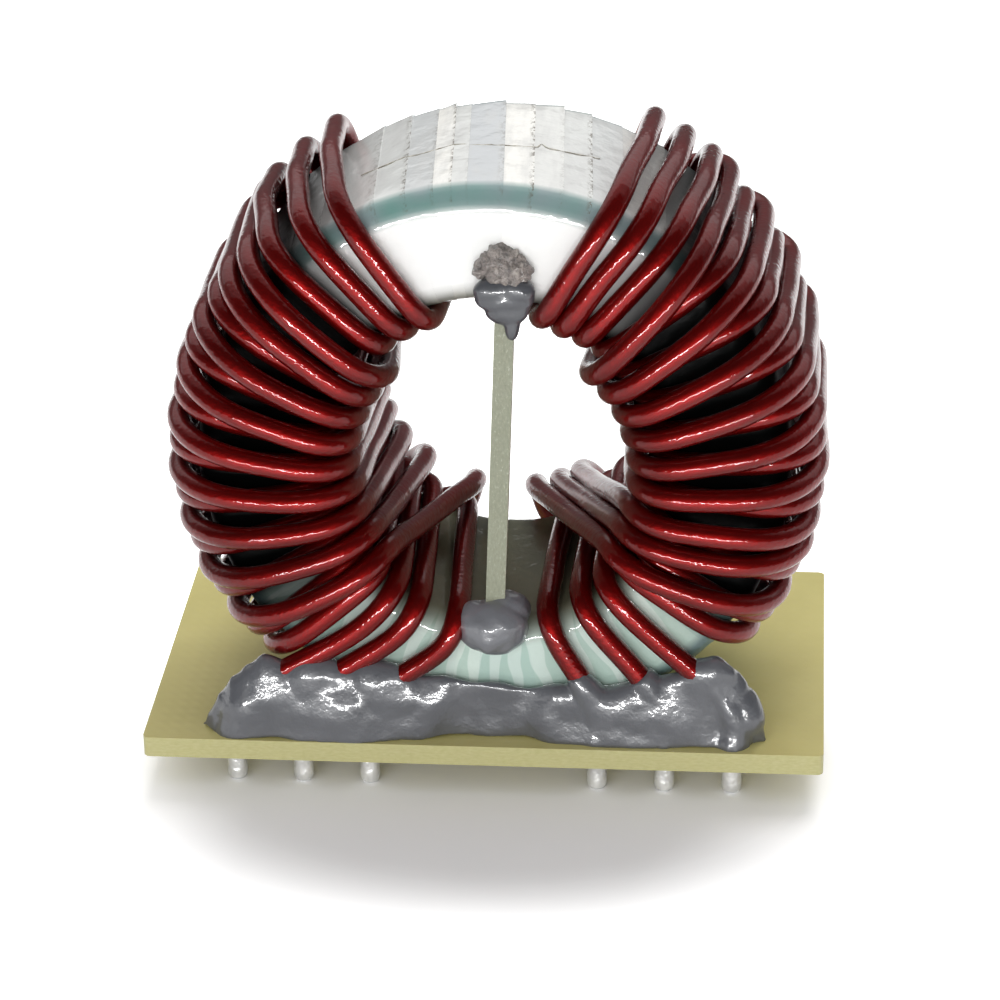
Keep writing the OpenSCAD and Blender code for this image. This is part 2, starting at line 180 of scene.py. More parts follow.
def smooth_step(tree, source, *limits):
    """A soft step: limits are the source's low and high value, and the results at them."""
    step = tree.nodes.new("ShaderNodeMapRange")
    step.interpolation_type = "SMOOTHSTEP"
    for name, value in zip(("From Min", "From Max", "To Min", "To Max"), limits):
        feed(tree, value, step.inputs[name])
    tree.links.new(source, step.inputs["Value"])
    return step.outputs[0]


class Shader:
    """A material with a Principled shader and short calls to add nodes to it."""

    def __init__(self, name):
        self.material = bpy.data.materials.new(name)
        self.material.use_nodes = True
        self.tree = self.material.node_tree
        self.surface = self.tree.nodes["Principled BSDF"]
        self.place = self.node("ShaderNodeTexCoord").outputs["Object"]

    def node(self, kind, **settings):
        node = self.tree.nodes.new(kind)
        for key, value in settings.items():
            setattr(node, key, value)
        return node

    def link(self, source, target):
        self.tree.links.new(source, target)

    def set(self, **values):
        """Fixed values on the shader's own sockets."""
        for key, value in values.items():
            self.surface.inputs[key.replace("_", " ")].default_value = value

    def colour(self, socket):
        self.link(socket, self.surface.inputs["Base Color"])

    def attribute(self, name, output="Fac"):
        return self.node("ShaderNodeAttribute", attribute_name=name).outputs[output]

    def split(self, vector):
        """A vector's X, Y and Z."""
        parts = self.node("ShaderNodeSeparateXYZ")
        self.link(vector, parts.inputs[0])
        return parts.outputs

    def facing(self, axis):
        """How far the surface faces along an axis, from -1 to 1."""
        return self.split(self.node("ShaderNodeNewGeometry").outputs["Normal"])[axis]

    def stretched(self, scale):
        """Object coordinates in millimetres, scaled along each axis."""
        mapping = self.node("ShaderNodeMapping")
        mapping.inputs["Scale"].default_value = [s / MM for s in scale]
        self.link(self.place, mapping.inputs["Vector"])
        return mapping.outputs["Vector"]

    def noise_over(self, vector, detail, roughness=0.5):
        """Noise whose blotches are about one unit of the vector."""
        texture = self.node("ShaderNodeTexNoise")
        for name, value in (("Scale", 1.0), ("Detail", detail), ("Roughness", roughness)):
            texture.inputs[name].default_value = value
        self.link(vector, texture.inputs["Vector"])
        return texture.outputs["Fac"]

    def noise(self, size, detail=3.0, roughness=0.5, stretch=(1, 1, 1)):
        """Noise whose blotches are about that size in millimetres."""
        return self.noise_over(self.stretched([1 / (size * s) for s in stretch]), detail, roughness)

    def ramp(self, source, stops):
        """A ramp: stops are (position, colour as rgb takes it) or (position, grey from 0 to 1)."""
        ramp = self.node("ShaderNodeValToRGB")
        elements = ramp.color_ramp.elements
        while len(elements) < len(stops):
            elements.new(0.5)
        for element, (position, colour) in zip(elements, stops):
            element.position = position
            element.color = rgb(*colour) if hasattr(colour, "__len__") else (colour,) * 3 + (1,)
        self.link(source, ramp.inputs["Fac"])
        return ramp.outputs["Color"]

    def mix(self, amount, a, b):
        """Mixes two colours, each a socket or a tuple. The node's colour sockets are 6, 7 and 2."""
        node = self.node("ShaderNodeMix", data_type="RGBA")
        for value, socket in ((amount, 0), (a, 6), (b, 7)):
            feed(self.tree, value, node.inputs[socket])
        return node.outputs[2]

    def math(self, operation, a, b=0.0):
        node = self.node("ShaderNodeMath", operation=operation)
        feed(self.tree, a, node.inputs[0])
        feed(self.tree, b, node.inputs[1])
        return node.outputs[0]

    def bump(self, height, depth, coat=False):
        """Bump of that depth in millimetres, on the base and on the coat if asked."""
        bump = self.node("ShaderNodeBump")
        bump.inputs["Distance"].default_value = depth * MM
        self.link(height, bump.inputs["Height"])
        for name in ("Normal", "Coat Normal") if coat else ("Normal",):
            self.link(bump.outputs["Normal"], self.surface.inputs[name])


def rgb(red, green, blue):
    """A linear colour from an sRGB one written as 0 to 255, by the sRGB standard's curve."""
    def linear(value):
        value /= 255
        return value / 12.92 if value <= 0.04045 else ((value + 0.055) / 1.055) ** 2.4
    return (linear(red), linear(green), linear(blue), 1)


# ---- Materials
def enamel_material():
    """Dark red enamel over copper: a tinted metal under a thick clear coat, not quite even."""
    m = Shader("red_enamel")
    m.colour(m.ramp(m.noise(7.0, detail=2), [(0.35, (108, 5, 4)), (0.65, (127, 8, 7))]))
    m.set(Metallic=0.93, Roughness=0.5, Coat_Weight=1.0, Coat_Roughness=0.04, Coat_IOR=1.42)
    m.bump(m.noise_over(m.attribute("along_wire", "Vector"), detail=1.0), 0.037, coat=True)
    return m.material


def mottled_material(name, blotches, stops, lumps, depth, coat=False, **values):
    """One ramp over blotches, and bump from lumps, both written as noise takes them."""
    m = Shader(name)
    m.colour(m.ramp(m.noise(*blotches), stops))
    m.set(**values)
    m.bump(m.noise(*lumps), depth, coat)
    return m.material


def adhesive_material(name, grey):
    """Grey silicone-like adhesive, glossy and slightly uneven, of about that grey."""
    return mottled_material(
        name, (3.0,),
        [(0.3, (grey - 7, grey - 5, grey)), (0.7, (grey + 7, grey + 9, grey + 14))],
        (0.9, 3, 0.55), 0.08, coat=True, Roughness=0.32, Coat_Weight=0.9, Coat_Roughness=0.08)


# Size of the weave that shows in the board
WEAVE = 3.4


def board_material():
    """Yellow-green glass-epoxy board with a faint weave and paler sawn edges."""
    m = Shader("board_epoxy")
    blotch = m.ramp(m.noise(9.0), [(0.3, (186, 177, 114)), (0.7, (199, 190, 126))])
    cloth = m.stretched((1 / WEAVE, 1 / WEAVE, 1))
    waves = []
    for axis in "XY":
        wave = m.node("ShaderNodeTexWave", wave_type="BANDS", bands_direction=axis)
        wave.inputs["Scale"].default_value = 1.0
        wave.inputs["Distortion"].default_value = 1.2
        m.link(cloth, wave.inputs["Vector"])
        waves.append(wave.outputs["Fac"])
    weave = m.math("MULTIPLY", *waves)
    top = m.mix(m.math("MULTIPLY", weave, 0.03), blotch, rgb(214, 206, 150))
    edge = m.ramp(m.noise(0.5, stretch=(1, 1, 0.3)),
                  [(0.3, (180, 175, 118)), (0.7, (192, 187, 134))])
    m.colour(m.mix(m.math("ABSOLUTE", m.facing("Z")), edge, top))
    m.set(Roughness=0.42, Coat_Weight=0.25, Coat_Roughness=0.2,
          Subsurface_Weight=0.15, Subsurface_Radius=(0.002, 0.0018, 0.001))
    m.bump(m.math("ADD", weave, m.math("MULTIPLY", m.noise(0.4), 0.4)), 0.012)
    return m.material


def divider_material():
    """Glass-epoxy strip: grey-green front with specks of cut fibre along it, and sides painted
    light cream for the light from behind.
    """
    m = Shader("divider_epoxy")
    fibre = m.noise(0.16, detail=3, roughness=0.7, stretch=(1, 1, 2.2))
    front = m.ramp(fibre, [(0.3, (124, 129, 108)), (0.6, (139, 143, 121)),
                           (0.74, (182, 184, 166))])
    # Painted light: light cream on the sides, which the backlight falls on
    side = m.ramp(m.noise(0.5, detail=4, roughness=0.7),
                  [(0.3, (214, 207, 178)), (0.7, (246, 243, 226))])
    m.colour(m.mix(m.math("ABSOLUTE", m.facing("X")), front, side))
    m.set(Roughness=0.5)
    m.bump(fibre, 0.05)
    return m.material


# The folds that fan out over the lower front of the ring, counted all round it
PLEATS = 64


def pleats(m):
    """1 on the folds, which narrow from the bore to the ring's outside, and 0 between them."""
    place = m.split(m.place)
    dx = m.math("SUBTRACT", place["X"], ring_x * MM)
    dz = m.math("SUBTRACT", place["Z"], ring_z * MM)
    turns = m.math("MULTIPLY", m.math("ARCTAN2", dz, dx), PLEATS / math.tau)
    wave = m.math("PINGPONG", m.math("ADD", turns, m.noise(4.0, detail=1)), 0.5)
    radius = m.math("SQRT", m.math("ADD", m.math("MULTIPLY", dx, dx), m.math("MULTIPLY", dz, dz)))
    outward = m.math("DIVIDE", m.math("SUBTRACT", radius, bore_r * MM), (ring_r - bore_r) * MM)
    return m.ramp(m.math("SUBTRACT", m.math("MULTIPLY", wave, 2), outward),
                  [(0.0, 0.0), (0.1, 1.0)])


def tape_material():
    """Clear tape over a green core, milky where air lies under it, with painted reflection, light
    and shade: teal outer corners, a white upper front face, a dark bore and dark stretches under
    the windings.
    """
    m = Shader("clear_tape")
    milky = m.ramp(m.attribute("lap_tone"), [(0.0, (194, 197, 200)), (0.4, (211, 213, 211)),
                                             (0.7, (226, 226, 222)), (1.0, (245, 243, 237))])
    streaks = m.noise(2.2, detail=4, roughness=0.6, stretch=(0.6, 3, 0.6))
    uneven = m.mix(m.ramp(streaks, [(0.45, 0.0), (0.62, 0.5)]), milky, rgb(203, 203, 201))
    # Painted light: faces turned to the front, above the mint stretch, go near white, as blown out
    # by the light
    front = m.ramp(m.math("MULTIPLY", m.facing("Y"), -1), [(0.8, 0.0), (0.97, 0.85)])
    front_light_share = m.mix(m.attribute("mint"), front, (0, 0, 0, 1))
    pale = m.mix(front_light_share, uneven, rgb(253, 253, 251))
    pleated = m.mix(pleats(m), rgb(164, 204, 187), rgb(206, 231, 219))
    mint = m.mix(m.math("MULTIPLY", m.attribute("mint"), 0.68), pale, pleated)
    # Painted reflection: a teal band on the outer corners, where the rounded edge reflects the dark
    # room, so the green core's own colour shows
    teal = m.ramp(m.noise(5.0, detail=2), [(0.35, (104, 146, 138)), (0.65, (132, 148, 150))])
    dark_corner_reflection = m.mix(m.attribute("dark_corner_reflection"), mint, teal)
    # Painted shade: the tape in the bore goes dark olive
    inner = m.mix(m.attribute("bore"), dark_corner_reflection, rgb(96, 96, 78))
    dirt = m.ramp(m.noise(0.4, detail=4, roughness=0.8, stretch=(1, 1.6, 1)),
                  [(0.5, 0.0), (0.56, 1.0)])
    dirty = m.mix(m.math("MULTIPLY", dirt, m.attribute("lap_edge")), inner, rgb(98, 90, 76))
    # Painted shade: the tape goes near black, and loses its coat, where the windings keep the light
    # off it
    m.colour(m.mix(m.attribute("winding_shade"), dirty, rgb(7, 8, 8)))
    m.link(m.ramp(m.attribute("winding_shade"), [(0.2, 1.0), (0.8, 0.0)]),
           m.surface.inputs["Coat Weight"])
    m.set(Roughness=0.35, Coat_Roughness=0.04, Specular_IOR_Level=0.12)
    m.bump(m.noise(1.6, detail=3), 0.10, coat=True)
    return m.material


ENAMEL = enamel_material()
BOARD = board_material()
DIVIDER = divider_material()
TAPE = tape_material()
ADHESIVE = adhesive_material("grey_adhesive", 88)
DARK_ADHESIVE = adhesive_material("dark_adhesive", 80)
# The ball's adhesive: the grey adhesive painted lighter, standing in for the stronger light on the
# ball
LIT_ADHESIVE = adhesive_material("adhesive_painted_lighter", 108)
# Solder-dipped wire ends: bright, soft-edged and lumpy
TIN = mottled_material(
    "tinned_end", (1.2,), [(0.3, (214, 214, 214)), (0.7, (244, 244, 242))],
    (0.6,), 0.12, Metallic=0.7, Roughness=0.3)
# The dried, crumbly part of the top drop, with bits that glitter
CRUMBS = mottled_material(
    "crumbly_adhesive", (0.7, 5, 0.75),
    [(0.3, (88, 84, 84)), (0.55, (146, 137, 131)), (0.75, (196, 187, 178))],
    (0.7, 4, 0.6), 0.7, coat=True, Roughness=0.38, Coat_Weight=1.0, Coat_Roughness=0.12)
# Dust caught along the cut end of the tape
CREASE = mottled_material(
    "dusty_crease", (0.7, 4, 0.7), [(0.35, (128, 122, 108)), (0.6, (205, 201, 190))],
    (0.3,), 0.03, Roughness=0.6)
# Mint coating of the ferrite ring, seen only through the tape's seam
CORE = mottled_material(
    "core_coating", (2.0,), [(0.3, (120, 160, 146)), (0.7, (138, 178, 164))],
    (0.8,), 0.03, Roughness=0.4)


def repaint(node, material):
    """Gives a CAD node that stays shown its material."""
    for slot in nodes[node].material_slots:
        slot.material = material


# ---- Windings
LEFT, RIGHT = -1, 1
STRANDS = 3
# The layer of each outside pass, counted down from the top: T top, U upper, L lower. Angles are
# in degrees from the top, the first and the last of each row of passes.
WINDINGS = {
    LEFT: dict(
        layers="TTTUULULULULULULULULL",
        top_outside=(28.5, 43.5), body_outside=(48.5, 133),
        bore=dict(T=(20, 39), L=(60, 135.2), U=(46.5, 132.1)),
        front_lead=(144, 153, 167), rear_lead=(126, 140, 164)),
    RIGHT: dict(
        layers="TTTULULULULULULUULULL",
        top_outside=(24, 36.4), body_outside=(41.5, 126.5),
        bore=dict(T=(16.5, 32.3), L=(40.5, 129.3), U=(42.5, 127.3)),
        front_lead=(139, 149, 162), rear_lead=(150, 160.5, 171)),
}
# Degrees round the ring between the front and the rear end of a bore pass, for an upper wire and
# for any other, and how late each walk over a face turns, as face_walk says
UPPER_DRIFT = 12
LOWER_DRIFT = -4
FRONT_DELAY = 1.55
REAR_DELAY = -1.8
# How far the curve of each front lead, and of every rear one, heads away from the ring, and how
# far it comes down upright over its pin
LEAD_ARCH = (5.5, 3, 2)
LEAD_DROP = 3
REAR_LEAD_ARCH = 4
REAR_LEAD_DROP = 5

# Points along a bend, a face between its bends, a lead's curve and its upright end
BEND_STATIONS = 9
FLAT_STATIONS = 9
LEAD_STATIONS = 24
UPRIGHT_STATIONS = 4
# Sides of the finished wire, distance between its rings, and how often its stations are evened
# out, which spreads each bend as stiff wire does
WIRE_SIDES = 16
WIRE_PITCH = 0.36
WIRE_SOFTENING = 20
# How far its hand-made unevenness goes, the length of its waves, the length over which they fade
# out towards the pins, and the step in the noise from wire to wire. The seed keeps the vectors of
# the noise the same in each run.
WIRE_WAVER = 0.13
WIRE_WAVER_LENGTH = 7.0
WIRE_WAVER_FADE = 12
WIRE_WAVER_STEP = 7.3
WIRE_WAVER_SEED = 1
noise.seed_set(WIRE_WAVER_SEED)
# The enamel's ripple: its length along the wire, how it turns with the length, how many ripples
# lie side by side round the wire, and the step in the noise from wire to wire
RIPPLE_LENGTH = 0.42
RIPPLE_TWIST = 0.5
RIPPLE_ROUND = 2.2
RIPPLE_STEP = 50


def spread(ends, count, i):
    return ends[0] + (ends[1] - ends[0]) * i / (count - 1)


def in_layer(winding, kind):
    return [i for i, layer in enumerate(winding["layers"]) if layer == kind]


def outside_angle(winding, i):
    if i < STRANDS:
        return spread(winding["top_outside"], STRANDS, i)
    return spread(winding["body_outside"], len(winding["layers"]) - STRANDS, i - STRANDS)


def bore_angle(winding, i):
    kind = winding["layers"][i]
    passes = in_layer(winding, kind)
    return spread(winding["bore"][kind], len(passes), passes.index(i))


def wire_passes(winding, s):
    """Outside passes of one wire in winding order: three climb, one is on top, three return."""
    climb = in_layer(winding, "L")[::-1]
    back = in_layer(winding, "U")
    return ([climb[STRANDS * k + STRANDS - 1 - s] for k in range(STRANDS)]
            + [in_layer(winding, "T")[s]]
            + [back[STRANDS * k + s] for k in range(STRANDS)])


def station(side, r, angle, y, tilt):
    """A point of a wire's centre line and the direction away from the ring.

    The angle is from the top, the tilt from the ring's plane to the rear, both in degrees.
    """
    a = math.radians(angle)
    t = math.radians(tilt)
    point = (ring_x + side * r * math.sin(a), ring_y + y, ring_z + r * math.cos(a))
    away = (side * math.sin(a) * math.cos(t), math.sin(t), math.cos(a) * math.cos(t))
    return point, away


def bend(side, r, radius, level, face, outward, angles):
    """A bend from a pass at radius r onto a face at that level."""
    stations = []
    for i, angle in enumerate(angles):
        t = math.radians(90 * i / (len(angles) - 1))
        tilt = math.degrees(math.atan2(face * math.sin(t), outward * math.cos(t)))
        stations.append(station(side, r - outward * radius * (1 - math.cos(t)), angle,
                                face * (level - radius + radius * math.sin(t)), tilt))
    return stations


def face_walk(side, r0, bend0, r1, bend1, level, face, a0, a1, delay):
    """The walk over one face, its angle drifting from a0 to a1 along the wire.

    A delay over 1 keeps the drift for the end of the walk, one under -1 for its start.
    """
    outward = 1 if r1 > r0 else -1
    arc0 = bend0 * math.pi / 2
    arc1 = bend1 * math.pi / 2
    flat = abs(r1 - r0) - bend0 - bend1
    total = arc0 + flat + arc1
    steps = np.linspace(0, 1, BEND_STATIONS)

    def angle_at(length):
        if delay < 0:
            return a1 + (a0 - a1) * (1 - length / total) ** -delay
        return a0 + (a1 - a0) * (length / total) ** delay

    first = bend(side, r0, bend0, level, face, -outward, [angle_at(arc0 * q) for q in steps])
    last = bend(side, r1, bend1, level, face, outward, [angle_at(total - arc1 * q) for q in steps])
    middle = [station(side, r0 + outward * (bend0 + flat * q), angle_at(arc0 + flat * q),
                      face * level, 90 * face)
              for q in np.linspace(0, 1, FLAT_STATIONS + 2)[1:-1]]
    return first + middle + last[::-1]


def pin_x(s):
    return PIN_INNER_X + (STRANDS - 1 - s) * PIN_PITCH


def lead(side, s, start, angle, arch, drop, face):
    """A lead from a face down to the board, as stations past the face's bend."""
    start = np.array(start)
    a = math.radians(angle)
    pin = np.array([side * pin_x(s), face * pin_row_y, 0])
    straight = pin + (0, 0, board_t + LEAD_STRAIGHT)
    points = [start, start + arch * np.array([side * math.sin(a), 0, math.cos(a)]),
              straight + (0, 0, drop), straight]
    stations = []
    for t in np.linspace(0, 1, LEAD_STATIONS + 1)[1:]:
        weights = ((1 - t) ** 3, 3 * (1 - t) ** 2 * t, 3 * (1 - t) * t * t, t ** 3)
        stations.append((sum(w * p for w, p in zip(weights, points)), (0, face, 0)))
    stations += [(straight + q * (pin - straight), (0, face, 0))
                 for q in np.linspace(0, 1, UPRIGHT_STATIONS + 1)[1:]]
    return stations


def lead_end(side, s, face):
    """One end of a wire: its bend out of the bore onto the front or rear face, and its lead."""
    winding = WINDINGS[side]
    if face < 0:
        angle, up, arch, drop = winding["front_lead"][s], 0, LEAD_ARCH[s], LEAD_DROP
    else:
        angle, up, arch, drop = winding["rear_lead"][s], layer_step, REAR_LEAD_ARCH, REAR_LEAD_DROP
    over = bend(side, bore_wire_r - up, BEND_IN + up, face_wire_y + up, face, -1,
                [angle] * BEND_STATIONS)
    return over, lead(side, s, over[-1][0], angle, arch, drop, face)


def turn(side, kind, angle, i):
    """One turn: from a bore pass of that kind and angle by the outside pass i to the bore."""
    winding = WINDINGS[side]
    following = winding["layers"][i]
    bore_up = layer_step if kind == "U" else 0
    rear_up = 0 if kind == "L" else layer_step
    next_up, sunk, rear_sunk = ((layer_step, NESTING, REAR_NESTING) if following == "U"
                                else (0, 0, 0))
    outside = outside_angle(winding, i)
    drift = UPPER_DRIFT if kind == "U" else LOWER_DRIFT
    rear_r = outside_wire_r + REAR_BULGE[following] + next_up - rear_sunk
    front_r = outside_wire_r + FRONT_BULGE + next_up - sunk
    rear = face_walk(side, bore_wire_r - bore_up, BEND_IN + (bore_up if rear_up == bore_up else 0),
                     rear_r, BEND_OUT + REAR_ROUND * rear_up, face_wire_y + rear_up, 1,
                     angle + drift, outside + OUTSIDE_SLANT, REAR_DELAY)
    front = face_walk(side, front_r, BEND_FRONT + next_up, bore_wire_r - next_up,
                      BEND_IN + next_up, face_wire_y + next_up, -1,
                      outside, bore_angle(winding, i), FRONT_DELAY)
    middle = [station(side, (rear_r + front_r) / 2 + ARCH[following], outside + OUTSIDE_SLANT / 2,
                      0, 0)]
    return rear + middle + front


def wire_path(side, s):
    """Stations of one whole wire, from its front pin to its rear pin."""
    winding = WINDINGS[side]
    over, down = lead_end(side, s, -1)
    path = (over + down)[::-1]
    kind, angle = "L", winding["front_lead"][s]
    for i in wire_passes(winding, s):
        path += turn(side, kind, angle, i)
        kind, angle = winding["layers"][i], bore_angle(winding, i)
    over, down = lead_end(side, s, 1)
    return path + over + down


def even_path(path, pitch):
    """The path's points and directions again, at even distances."""
    points = np.array([p for p, _ in path], float)
    away = np.array([a for _, a in path], float)
    length = np.concatenate([[0], np.cumsum(np.linalg.norm(np.diff(points, axis=0), axis=1))])
    at = np.linspace(0, length[-1], int(length[-1] / pitch) + 1)
    columns = [np.interp(at, length, column) for column in np.hstack([points, away]).T]
    return np.array(columns[:3]).T, np.array(columns[3:]).T, at


def softened(points, times):
    """Evens out a row of points with its neighbours, and leaves its ends where they are."""
    for _ in range(times):
        points[1:-1] = (points[:-2] + 2 * points[1:-1] + points[2:]) / 4
    return points


def wavered(points, at, seed):
    """Small bends that a hand leaves in stiff wire, fading out towards the pins."""
    for j, (point, length) in enumerate(zip(points, at)):
        q = Vector((length / WIRE_WAVER_LENGTH, seed * WIRE_WAVER_STEP, 0))
        fade = min(1, length / WIRE_WAVER_FADE, (at[-1] - length) / WIRE_WAVER_FADE)
        point += WIRE_WAVER * fade * np.array(noise.noise_vector(q))
    return points


def round_wire(sides):
    """Angles of the points of one ring."""
    return 2 * math.pi * (np.arange(sides) + 0.5) / sides


def sweep_rings(points, away, radii, sides):
    """Rings of points round a centre line."""
    tangent = np.gradient(points, axis=0)
    tangent /= np.linalg.norm(tangent, axis=1)[:, None]
    normal = away - tangent * np.sum(away * tangent, axis=1)[:, None]
    normal /= np.linalg.norm(normal, axis=1)[:, None]
    binormal = np.cross(tangent, normal)
    turns = round_wire(sides)
    rings = (points[:, None, :]
             + radii[:, None, None] * (np.cos(turns)[None, :, None] * normal[:, None, :]
                                       + np.sin(turns)[None, :, None] * binormal[:, None, :]))
    return rings.reshape(-1, 3)


def along_wire(at, seed):
    """A place in the enamel's ripple for each point: ripples run round the wire in a helix."""
    turned = round_wire(WIRE_SIDES)[None, :] + RIPPLE_TWIST * at[:, None]
    place = np.empty((len(at), WIRE_SIDES, 3))
    place[:, :, 0] = at[:, None] / RIPPLE_LENGTH + RIPPLE_STEP * seed
    place[:, :, 1] = RIPPLE_ROUND * np.cos(turned)
    place[:, :, 2] = RIPPLE_ROUND * np.sin(turned)
    return place.reshape(-1, 3)


# A pin: rows of height below the board's underside and radius, from the root to the tip, its
# sides, and its lumps: how high they are, how many lie round it and how close they lie along it
PIN_ROWS = ((-0.35, 0.70), (0.0, 0.73), (0.35, 0.72), (0.8, 0.70), (1.25, 0.72), (1.7, 0.75),
            (2.15, 0.75), (2.42, 0.66), (2.55, 0.46), (2.6, 0.16))
PIN_SIDES = 24
PIN_LUMP = 0.035
PIN_LUMPS_ROUND = 2
PIN_LUMPS_ALONG = 1.6


def pin_mesh(x, y, seed):
    """A tinned end: round, a little lumpy, with a rounded tip."""
    vertices = []
    for depth, radius in reversed(PIN_ROWS):
        for k in range(PIN_SIDES):
            a = 2 * math.pi * k / PIN_SIDES
            lump = noise.noise(Vector((PIN_LUMPS_ROUND * math.cos(a) + seed,
                                       PIN_LUMPS_ROUND * math.sin(a), depth * PIN_LUMPS_ALONG)))
            r = radius + PIN_LUMP * lump * min(1, radius)
            vertices.append((x + r * math.cos(a), y + r * math.sin(a), -depth))
    return vertices, tube_faces(len(PIN_ROWS), PIN_SIDES)


def build_wire(side, s):
    """One whole wire: its enamelled part and its two tinned ends."""
    points, away, at = even_path(wire_path(side, s), WIRE_PITCH)
    points = wavered(softened(points, WIRE_SOFTENING), at, side * (s + 1))
    away = softened(away, WIRE_SOFTENING)
    enamel = (sweep_rings(points, away, np.full(len(points), enamel_r), WIRE_SIDES),
              tube_faces(len(points), WIRE_SIDES))
    pins = [pin_mesh(side * pin_x(s), face * pin_row_y, 5 * s + 3 * face) for face in (-1, 1)]
    vertices, faces = joined([enamel] + pins)
    name = "%s_wire_%d" % ("left" if side == LEFT else "right", s + 1)
    obj = add_piece("enamelled_" + name, vertices, faces, (ENAMEL, TIN), name)
    for polygon in obj.data.polygons[len(enamel[1]):]:
        polygon.material_index = 1
    ripple = np.zeros((len(vertices), 3))
    ripple[:len(enamel[0])] = along_wire(at, s)
    fill_attribute(obj, "along_wire", ripple)


# ---- Tape
# The laps seen in the upper window: the right edge of each, in degrees from the top, how milky
# it is, how far its rear end stands up, and the dirt along that edge; then the last one's left edge
TOP_LAPS = ((24.5, 0.35, 0, 0), (18.4, 0.5, 0.12, 1), (12.6, 0.65, 0.3, 0.3),
            (6.8, 0.95, 0.05, 1), (1.4, 0.1, 0.25, 0.4), (-5.3, 0.55, 0, 0.2),
            (-8.6, 0.95, 0.3, 0.95), (-12.1, 0.25, 0.05, 0.5), (-17.2, 0.5, 0.15, 0.9))
TOP_LAPS_END = -23.5
# The other laps: how many, how they vary in width, as a share of one, and in tone, the waves that
# both follow, and how far their rear ends stand up and how dirty their edges are
REST_LAPS = 30
REST_WAVER = 0.22
REST_TONE = 0.5
REST_WAVES = (2.4, 1.3)
REST_RISE = 0.05
REST_DIRT = 0.5
# Angles from the top between which a winding keeps the light off the tape: start and end of the
# dark stretch, each with the width of its soft edge
COVER_START = (34, 16)
COVER_END = (128, 14)
# Angle from the top past which the tape turns mint with folds, and the painted light on its upper
# front face stops
MINT_START = (100, 30)
# Rise of each lap over the one before it, and the share of it that is pressed flat in front
LAP_STEP = 0.045
LAP_PRESSED = 0.8
# How far a lap's edge slants over the ring's width, and wavers over its faces, in degrees
LAP_SLANT = 3.2
LAP_WAVER = 0.5
LAP_WAVER_TURN = 1.7
LAP_COLUMNS = 6
# Points of the ring's outline in a corner and between two corners, and how soon the painted dark
# reflection is full across the outer corners
CORNER_POINTS = 9
SIDE_POINTS = 9
DARK_REFLECTION_GAIN = 1.3
# The tape's cut end: points of angle from the top, and distance to the rear of the ring's middle
CREASE_LINE = ((-27, -1.2), (-21.9, -1.2), (-18.5, -0.9), (-13.5, -1.0), (-8.2, -0.3), (0.5, -0.9),
               (7.6, -0.7), (8.2, 0.1), (9.6, -0.6), (12.9, -0.6), (16.2, -0.4), (19.7, 0.0))
# Its thickness and how that varies, its sides, the distance between its rings, how often its
# corners are evened out, and how far and over what length it wavers
CREASE_R = 0.04
CREASE_SWELL = 0.5
CREASE_SWELL_TURNS = (5, 1.7)
CREASE_SIDES = 8
CREASE_PITCH = 0.1
CREASE_SOFTENING = 3
CREASE_WAVER = 0.12
CREASE_WAVER_LENGTH = 0.8
CREASE_SEED = 3.1


def ring_section():
    """The taped ring's outline as rows of (radius, y, outward normal in radius and y, share of the
    painted dark reflection).
    """
    low_r, high_r = bore_r + ring_edge_r, ring_r - ring_edge_r
    flat_y = ring_h / 2 - ring_edge_r
    corners = ((high_r, -flat_y, -90), (high_r, flat_y, 0),
               (low_r, flat_y, 90), (low_r, -flat_y, 180))
    rows = []
    for i, (r, y, start) in enumerate(corners):
        for k in range(CORNER_POINTS):
            q = k / (CORNER_POINTS - 1)
            a = math.radians(start + 90 * k / (CORNER_POINTS - 1))
            # the painted dark reflection spans the two outer corners and is full in their middle
            dark_corner_reflection = min(1, DARK_REFLECTION_GAIN * math.sin(math.pi * q)) if i < 2 else 0
            rows.append((r + ring_edge_r * math.cos(a), y + ring_edge_r * math.sin(a),
                         math.cos(a), math.sin(a), dark_corner_reflection))
        r1, y1, start1 = corners[(i + 1) % 4]
        a1 = math.radians(start1)
        end = (r1 + ring_edge_r * math.cos(a1), y1 + ring_edge_r * math.sin(a1))
        last = rows[-1]
        for k in range(1, SIDE_POINTS + 1):
            q = k / (SIDE_POINTS + 1)
            rows.append((last[0] + q * (end[0] - last[0]), last[1] + q * (end[1] - last[1]),
                         last[2], last[3], 0))
    return rows


def risen(angle, start, width):
    """0 before start and 1 after it, over a soft edge of that width."""
    return max(0.0, min(1.0, (angle - start) / width + 0.5))


def winding_shade(angle):
    """1 at angles from the top where the windings' painted shade darkens the tape, 0 in the windows
    between them.
    """
    return risen(angle, *COVER_START) * (1 - risen(angle, *COVER_END))


def tape_laps():
    """The laps all round: start and end angle from the right, anticlockwise, tone, rise, dirt."""
    edges = [(90 - lap[0],) + lap[1:] for lap in TOP_LAPS]
    left = 90 - TOP_LAPS_END
    step = (edges[0][0] + 360 - left) / REST_LAPS
    for i in range(REST_LAPS):
        wave = math.sin(REST_WAVES[0] * i)
        edges.append((left + step * (i + REST_WAVER * wave),
                      REST_TONE + REST_TONE * wave * math.cos(REST_WAVES[1] * i),
                      REST_RISE, REST_DIRT))
    ends = [edge[0] for edge in edges[1:]] + [edges[0][0] + 360]
    return [(edge[0], end) + edge[1:] for edge, end in zip(edges, ends)]


